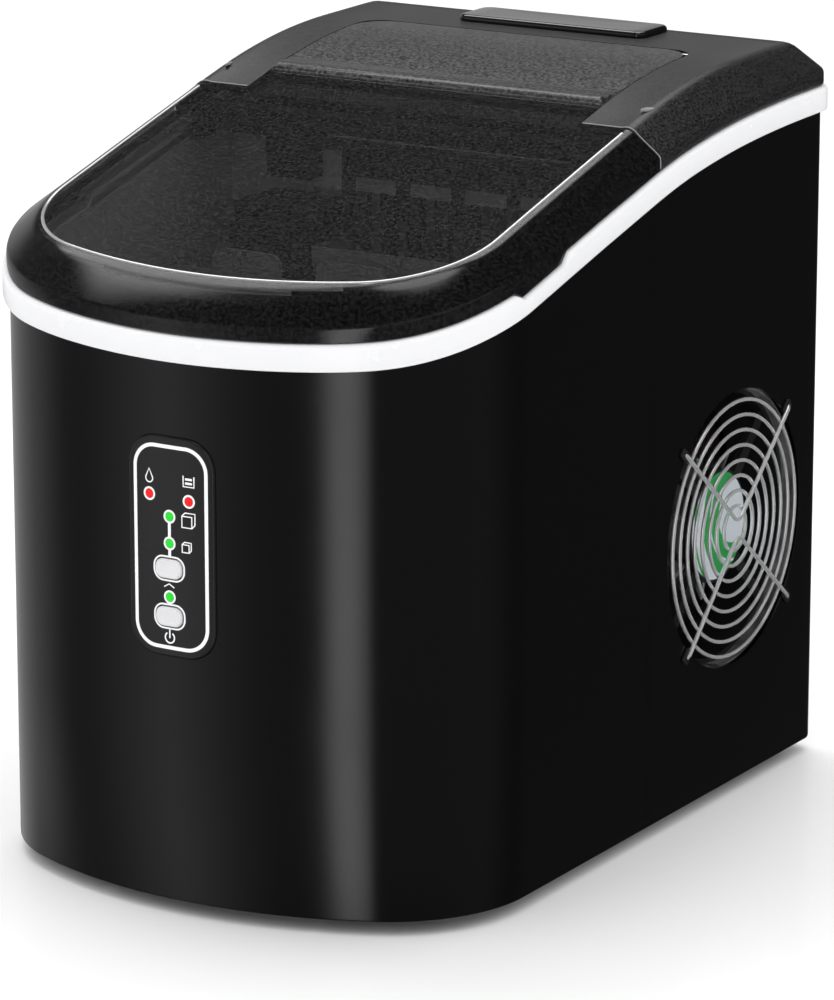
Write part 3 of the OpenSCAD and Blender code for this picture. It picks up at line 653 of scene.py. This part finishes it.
def ring_z(y, w, base, dz):
    """Height at y of a ring that top_rings() gives."""
    return band_top(y) + dz if base is None else crease(y) * (1 - w) + ridge(y) * w + dz


def ring_points(o, f, w, base, dz):
    return [(x, y, ring_z(y, w, base, dz)) for x, y in outline(o, f)]


ACROSS = 14                               # faces across the flat top
LID_BEAD, COVER_BEAD = 0.6, 1.4


def top_shell(name, bead):
    """The whole top as one closed shell, LID_T thick, before it is cut into its pieces."""
    outer = [ring_points(*r) for r in top_rings(False, bead)]
    inner = [ring_points(*r) for r in top_rings(True, 0)]
    m = len(outer[0])
    h = m // 2
    points, faces = [], []

    def add_skin(rings, flip):
        base = len(points)
        for ring in rings:
            points.extend(ring)
        for j in range(len(rings) - 1):
            for i in range(m):
                face = quad(base, i, j, m)
                faces.append(face[::-1] if flip else face)
        last = base + (len(rings) - 1) * m
        grid = []
        for i in range(h + 1):
            if i in (0, h):
                grid.append([last + i])
                continue
            right, left = rings[-1][i], rings[-1][m - i]
            row = [last + i]
            for s in range(1, ACROSS):
                t = s / ACROSS
                points.append(tuple(right[c] * (1 - t) + left[c] * t for c in range(3)))
                row.append(len(points) - 1)
            row.append(last + m - i)
            grid.append(row)
        for i in range(h):
            a, b = grid[i], grid[i + 1]
            for s in range(ACROSS):
                if len(a) == 1:
                    face = (a[0], b[s], b[s + 1])
                elif len(b) == 1:
                    face = (a[s], b[0], a[s + 1])
                else:
                    face = (a[s], b[s], b[s + 1], a[s + 1])
                faces.append(face[::-1] if flip else face)
        return base

    base_out = add_skin(outer, False)
    base_in = add_skin(inner, True)
    for i in range(m):
        n = (i + 1) % m
        faces.append((base_out + i, base_in + i, base_in + n, base_out + n))
    return new_object(name, points, faces)


def tongue_corner(side, o, back, r):
    """Rear corner of the grey panel's outline, moved out by o to the side and by back to the rear."""
    w, y1 = TONGUE_W + o, TONGUE_Y + back
    if side > 0:
        return arc(w - r, y1 - r, r, 0, 90, 12)
    return arc(r - w, y1 - r, r, 90, 180, 12)


RIM_LINE = half_line(0, 0)[:BOW_N + CORNER_N + SIDE_N:2]


def is_rim(x, y):
    """The lip and the bevel round the window, inside and out."""
    inset = min(math.hypot(abs(x) - px, y - py) for px, py in RIM_LINE)
    return inset < RIDGE_IN - 0.5


CLIP_X, CLIP_Y = 103.4, 201               # middle of the small clips on the cover's bevel


def make_joint_lines():
    """Thin raised edge of the rear cover along its joint with the lid, light grey to paint the highlight
    along the joint, with a clip at each side in the same grey.
    """
    y = LID_Y + 0.75
    profile = [(HALF_W + o, ring_z(y, w, base, dz))
               for o, _, w, base, dz in top_rings(False, COVER_BEAD)[2:]]
    wires = []
    for side in (-1, 1):
        path = [(side * x, y, z) for x, z in profile] + [(side * (TONGUE_W + 1), y, ridge(y))]
        wires.append(sweep("edge", path, 0.32, 8))
    edges = join("cover_joint_highlights", wires)
    finish_mesh(edges, 50)
    dress(edges, "case", "cover_black", material="highlight_and_clip_grey")
    top = ridge(CLIP_Y) + 0.9
    for side, name in ((-1, "cover_clip_left"), (1, "cover_clip_right")):
        clip = pad(name, 5.5, 3.4, 1.2, 1.0, 0.4,
                   lambda x, y, z: place(side * (CLIP_X + x * 0.55), CLIP_Y + y * 1.6 + x,
                                         top + z - x * 0.1))
        dress(clip, "case", "cover_black", material="highlight_and_clip_grey")


def make_tongue_lip():
    """Raised front edge of the grey panel behind the window, which slopes back down into it."""
    # y, and height over the ridge
    profile = [(199.9, -0.8), (199.9, 0.5), (200.15, 0.75), (200.6, 0.7), (201.2, 1.5),
               (201.8, 2.0), (202.8, 2.25), (204.2, 2.2), (208, 1.7), (212, 0.9), (215, 0.3),
               (216.5, -0.15), (210, -1.2), (203, -1.2)]
    rings = []
    for x, k in ((-TONGUE_W + 0.5, 0.0), (-TONGUE_W + 0.8, 0.6), (-TONGUE_W + 1.8, 1.0), (0, 1.0),
                 (TONGUE_W - 1.8, 1.0), (TONGUE_W - 0.8, 0.6), (TONGUE_W - 0.5, 0.0)):
        rings.append([(x, y, ridge(y) + (h * k if h > 0 else h)) for y, h in profile])
    lip = lofted("tongue_lip", rings, angle=30)
    dress(lip, "lid", "smoked", material="tongue_grey")


# The window's bright rim, a light grey bead that paints the highlight of the window's rounded edge:
# distance in from the ridge and under it, and radius
BEAD_IN, BEAD_DOWN, BEAD_R = 1.6, 0.35, 0.8


def make_lid():
    w, joint = TONGUE_W, LID_Y - 0.4
    window = top_shell("lid_window", LID_BEAD)
    keep_region(window, [(-FAR, AHEAD), (FAR, AHEAD), (FAR, joint), (w, joint), (w, STEP_Y),
                         (-w, STEP_Y), (-w, joint), (-FAR, joint)])
    dress(window, "lid", "smoked", "lid")
    paint_faces(window, "smoked_rim", is_rim)
    line = [(x, y) for x, y in outline(-RIDGE_IN - BEAD_IN, RIDGE_FRONT + BEAD_IN) if y < LID_Y - 3]
    turn = next(i for i in range(len(line)) if line[i][0] < 0)
    path = line[turn:] + line[:turn]
    # A light grey bead just inside the ridge paints the highlight of the window's rounded edge
    bead = sweep("window_rim_highlight", [(x, y, ridge(y) - BEAD_DOWN) for x, y in path], BEAD_R, 10)
    dress(bead, "lid", "smoked", material="rim_painted_highlight")
    tongue = top_shell("lid_tongue", LID_BEAD)
    keep_region(tongue, [(-w, STEP_Y + 0.3), (w, STEP_Y + 0.3)] + tongue_corner(1, 0, 0, TONGUE_R)
                + tongue_corner(-1, 0, 0, TONGUE_R))
    dress(tongue, "lid", "smoked", material="tongue_grey")


def make_rear_cover():
    cover = top_shell("rear_cover_skin", COVER_BEAD)
    w, joint = TONGUE_W + 0.5, LID_Y + 0.4
    region = [(w, joint), (FAR, joint), (FAR, BEHIND), (-FAR, BEHIND), (-FAR, joint), (-w, joint)]
    for side in (-1, 1):
        region += tongue_corner(side, 0.5, REAR_GAP, POCKET_R)[::-1]
    keep_region(cover, region)
    dress(cover, "case", "cover_black", "rear_cover")


PLATE_Y = 311                             # middle of the blank plate on the top


def make_nameplate():
    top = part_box("nameplate")[1].z / MM - FLOOR
    plate = pad("top_plate", 94, 26, 5, 2.4, 1.6, lambda x, y, z: place(x, PLATE_Y + y, top + z),
                crown=-0.2)
    dress(plate, "case", "plate_black", "nameplate")


# ---- Control panel ----

def bow_y(x):
    """How far the bowed front falls back at x."""
    r = bow_radius(0, 0)
    return r - math.sqrt(r * r - x * x)


def on_front(x0, z0, out):
    """Places a plate's own x, y and height on the bowed front, out millimetres in front of it."""
    return lambda x, y, h: place(x0 + x, bow_y(x0 + x) - out - h, z0 + y)


FACE_W, FACE_H = 0.93, 0.968              # the face inside its edge, as shares of its size


def make_panel():
    rings = [[(x, y, -4.4) for x, y in rounded_rect(PANEL_W, PANEL_H, PANEL_R)]]
    for inset, down in edge_steps(0.9):
        line = rounded_rect(PANEL_W - 2 * inset, PANEL_H - 2 * inset, PANEL_R - inset)
        rings.append([(x, y, down) for x, y in line])
    rings.append([(x * FACE_W, y * FACE_H, 0) for x, y, _ in rings[-1]])
    m = len(rings[0])
    points = [p for ring in rings for p in ring]
    faces = [quad(0, i, j, m) for j in range(len(rings) - 1) for i in range(m)]
    last = (len(rings) - 1) * m
    for i in range(m // 2 - 1):           # strips across, so that the face follows the bow
        faces.append((last + i, last + i + 1, last + m - 2 - i, last + m - 1 - i))
    faces.append(tuple(range(m))[::-1])
    bezel = new_object("panel_face", points, faces, on_front(PANEL_X, PANEL_Z, PANEL_OUT), 40)
    hole = rounded_rect(BUTTON_W + 0.7, BUTTON_H + 0.7, 3.7)
    for z in BUTTON_Z:
        cut_through(bezel, hole, (-6, 8), lambda u, v, y: (BUTTON_X + u, y, z + v))
    finish_mesh(bezel, 40)
    dress(bezel, "case", "panel_black", "panel_bezel")


def make_buttons():
    for name, node, body, z in (("select_cap", "select_button", "select_key", BUTTON_Z[0]),
                                ("power_cap", "power_button", "power_key", BUTTON_Z[1])):
        cap = pad(name, BUTTON_W, BUTTON_H, 3.4, 4.6, 0.9, on_front(BUTTON_X, z, 2.5), crown=-0.25)
        dress(cap, body, "button_silver", node)


def make_lenses():
    # Radius and height
    dome = [(1.9, -3), (1.9, 0), (1.75, 0.28), (1.35, 0.5), (0.7, 0.62), (0.15, 0.66)]
    reds = [(-11, 170.2), (7.9, 169.2)]
    greens = [(-1.3, 161.9), (-1.4, 150.8), (-1.6, 128.5)]
    for name, slot, node, places in (("red_domes", "lens_red", "red_lenses", reds),
                                     ("green_domes", "lens_green", "green_lenses", greens)):
        domes = [lathe("dome", dome, on_front(x, z, PANEL_OUT + 0.1), 32) for x, z in places]
        piece = join(name, domes)
        finish_mesh(piece, 50)
        dress(piece, "case", slot, node)


INK_T = 0.16                              # thickness of the printed lines


def stroke(points, w, convert, closed=False):
    """Thin printed line of the given width along points, as a raised strip."""
    n = len(points)
    rings = []
    for i, (x, y) in enumerate(points):
        a = points[i - 1] if i or closed else points[0]
        b = points[(i + 1) % n] if i < n - 1 or closed else points[-1]
        d = Vector((b[0] - a[0], b[1] - a[1])).normalized() * w / 2
        left, right = (x - d.y, y + d.x), (x + d.y, y - d.x)
        rings.append([(*left, 0.0), (*left, INK_T), (*right, INK_T), (*right, 0.0)])
    return lofted("stroke", rings, closed, convert=convert)


def make_icons():
    """Generic signs instead of words. A line is its points, its width, and whether it is closed."""
    drop = arc(-11, 176.6, 1.7, -215, 35, 24) + [(-11, 180.6)]
    open_box = [(5.4, 179.6), (5.4, 175.2), (10.4, 175.2), (10.4, 179.6)]
    lines = [(drop, 0.5, True), (open_box, 0.55, False)]
    for z in (176.6, 178.3):              # what the open box holds
        lines.append(([(6.3, z), (9.5, z)], 0.9, False))
    for size, z in ((4.6, 160.6), (3.2, 149.6)):        # a large and a small cube
        x0, z0, x1, z1 = 4.6, z - size / 2, 4.6 + size, z + size / 2
        up = size * 0.32
        rim = [(x0, z1), (x0 + up, z1 + up), (x1 + up, z1 + up), (x1 + up, z0 + up), (x1, z0)]
        lines.append(([(x0, z0), (x1, z0), (x1, z1), (x0, z1)], 0.6, True))
        lines.append((rim, 0.5, False))
    lines.append((arc(-1.8, 111.6, 2.2, -235, 55, 24), 0.6, False))     # power sign
    lines.append(([(-1.8, 111.4), (-1.8, 115.0)], 0.6, False))
    lines.append(([(-4.2, 132.6), (-1.8, 134.0), (0.6, 132.6)], 0.5, False))
    flat = on_front(0, 0, PANEL_OUT)
    icons = join("panel_icons", [stroke(points, w, flat, closed) for points, w, closed in lines])
    dress(icons, "case", "mark_white")


# ---- Fan guard ----

RING_X = HALF_W - 0.2                     # middle of the rings' wire
GUARD_X = HALF_W + 1.5                    # middle of the spokes' wire
RINGS, RING_R, RING_STEP = 8, 56, 6.6
RING_WIRE, SPOKE_WIRE = 0.85, 0.95        # radius of the wires
SPOKE_ENDS = (138, 44, -133, -41)         # degrees round the fan, from the back upwards


def on_wall(angle, r, x):
    """Point at an angle and a distance from the fan's axis."""
    a = math.radians(angle)
    return Vector((x, FAN_Y + r * math.cos(a), FAN_Z + r * math.sin(a)))


def make_guard():
    wires = []
    for i in range(RINGS):
        ring = [tuple(on_wall(360 * k / 120, RING_R - RING_STEP * i, RING_X)) for k in range(120)]
        wires.append(sweep("ring", ring, RING_WIRE, 12, True))
    for a, b, rise in ((*SPOKE_ENDS[:2], 2.6), (*SPOKE_ENDS[2:], -2.6)):
        apex = Vector((GUARD_X, FAN_Y, FAN_Z + rise))
        ends = [on_wall(a, 62.6, GUARD_X), on_wall(b, 62.6, GUARD_X)]
        near = [apex + (e - apex).normalized() * 5 for e in ends]
        path = [on_wall(a, 64.2, HALF_W + 0.2), on_wall(a, 64.0, GUARD_X - 0.5)]
        path += [ends[0].lerp(near[0], k / 6) for k in range(7)]
        path += [bezier(near[0], apex, near[1], k / 8) for k in range(1, 8)]
        path += [near[1].lerp(ends[1], k / 6) for k in range(7)]
        path += [on_wall(b, 64.0, GUARD_X - 0.5), on_wall(b, 64.2, HALF_W + 0.2)]
        wires.append(sweep("spoke", path, SPOKE_WIRE, 14))
    guard = join("wire_guard", wires)
    finish_mesh(guard, 50)
    dress(guard, "case", "guard_chrome", "fan_guard")
    for k, a in enumerate(SPOKE_ENDS):
        clip = pad("guard_clip_%d" % k, 7, 4.4, 1.4, 1.2, 0.5, clip_place(a))
        dress(clip, "case", "inner_black")


def clip_place(angle):
    """Places a clip's own x along the radius and its face outwards."""
    middle = on_wall(angle, 63.4, HALF_W + 1.3)
    a = math.radians(angle)

    def convert(x, y, h):
        u = x * math.cos(a) - y * math.sin(a)
        v = x * math.sin(a) + y * math.cos(a)
        return place(middle.x + h, middle.y + u, middle.z + v)
    return convert


# ---- Stage ----

ROOM_LIGHT = 0.035                        # the room between the soft boxes
# Soft boxes that the gloss shows: azimuth, its half width and soft edge, elevation, its half height
# and soft edge, all in degrees, and brightness. Azimuth 0 is in front of the machine, and 90 on its
# right side.
SOFT_BOXES = [(-125, 45, 20, -5, 22, 14, 0.42), (-36, 10, 44, -10, 30, 20, 0.5),
              (12.5, 4.5, 6, -10, 30, 20, 2.2), (-132, 46, 18, 55, 12, 6, 4.0),
              (60, 40, 30, 40, 12, 15, 0.25), (0, 120, 40, 0, 40, 30, 0.09),
              (0, 180, 1, 90, 14, 6, 3.0)]
DIFFUSE_LIGHT, BACKDROP = 1.3, 1.0        # brightness for matt surfaces, and seen by the camera
FLOOR_HALF = 4000


def soft_boxes(nodes, links):
    """Brightness of the room for reflections, by direction."""
    def math_node(operation, a, b=None):
        node = nodes.new("ShaderNodeMath")
        node.operation = operation
        for k, value in enumerate((a, b)):
            if value is None:
                continue
            if isinstance(value, (int, float)):
                node.inputs[k].default_value = value
            else:
                links.new(value, node.inputs[k])
        return node.outputs["Value"]

    def fade(value, half, soft):
        node = nodes.new("ShaderNodeMapRange")
        node.interpolation_type = "SMOOTHSTEP"
        node.inputs["From Min"].default_value = math.radians(half - soft / 2)
        node.inputs["From Max"].default_value = math.radians(half + soft / 2)
        node.inputs["To Min"].default_value = 1.0
        node.inputs["To Max"].default_value = 0.0
        links.new(value, node.inputs["Value"])
        return node.outputs["Result"]

    where = nodes.new("ShaderNodeTexCoord")
    split = nodes.new("ShaderNodeSeparateXYZ")
    links.new(where.outputs["Generated"], split.inputs["Vector"])
    x, y, z = (split.outputs[k] for k in "XYZ")
    azimuth = math_node("ARCTAN2", x, math_node("MULTIPLY", y, -1.0))
    elevation = math_node("ARCSINE", z)
    total = None
    for az, half, soft, el, el_half, el_soft, power in SOFT_BOXES:
        turned = math_node("WRAP", math_node("SUBTRACT", azimuth, math.radians(az)), math.pi)
        turned.node.inputs[2].default_value = -math.pi
        near = math_node("ABSOLUTE", turned)
        up = math_node("ABSOLUTE", math_node("SUBTRACT", elevation, math.radians(el)))
        box = math_node("MULTIPLY", fade(near, half, soft), fade(up, el_half, el_soft))
        box = math_node("MULTIPLY", box, power)
        total = box if total is None else math_node("ADD", total, box)
    return math_node("ADD", total, ROOM_LIGHT)


def make_stage():
    corners = ((-1, -1), (1, -1), (1, 1), (-1, 1))
    floor = new_object("floor", [(FLOOR_HALF * x, FLOOR_HALF * y, -FLOOR) for x, y in corners],
                       [(0, 1, 2, 3)])
    white = principled("floor_white", (1.0, 1.0, 1.0), 0.1, 0, {"Specular IOR Level": 0.35})
    floor.data.materials.append(white)
    floor.visible_glossy = False
    world = bpy.data.worlds.new("studio")
    world.use_nodes = True
    nodes, links = world.node_tree.nodes, world.node_tree.links
    rays = nodes.new("ShaderNodeLightPath")
    level = soft_boxes(nodes, links)
    for ray, value in (("Is Diffuse Ray", DIFFUSE_LIGHT), ("Is Camera Ray", BACKDROP)):
        mix = nodes.new("ShaderNodeMix")
        mix.inputs["B"].default_value = value
        links.new(rays.outputs[ray], mix.inputs["Factor"])
        links.new(level, mix.inputs["A"])
        level = mix.outputs["Result"]
    links.new(level, nodes["Background"].inputs["Strength"])
    nodes["Background"].inputs["Color"].default_value = (1, 1, 1, 1)
    bpy.context.scene.world = world
    bpy.context.scene.view_settings.view_transform = "Standard"


# Fitted to the outline in the photograph
CAMERA_AT, CAMERA_AIM, LENS = (1131.5, -1682.9, 708.3), (4.24, 180.0, 128.2), 189.6


def make_camera():
    data = bpy.data.cameras.new("camera")
    data.sensor_width = 36
    data.lens = LENS
    data.clip_end = 50
    obj = bpy.data.objects.new("camera", data)
    obj.location = place(*CAMERA_AT)
    aim = place(*CAMERA_AIM)
    obj.rotation_euler = (aim - obj.location).to_track_quat("-Z", "Y").to_euler()
    bpy.context.scene.collection.objects.link(obj)
    bpy.context.scene.camera = obj


make_camera()
dress_cad_nodes()
make_front_shell()
make_rear_shell()
make_band()
make_lid()
make_tongue_lip()
make_rear_cover()
make_joint_lines()
make_nameplate()
make_panel()
make_buttons()
make_lenses()
make_icons()
make_guard()
make_stage()
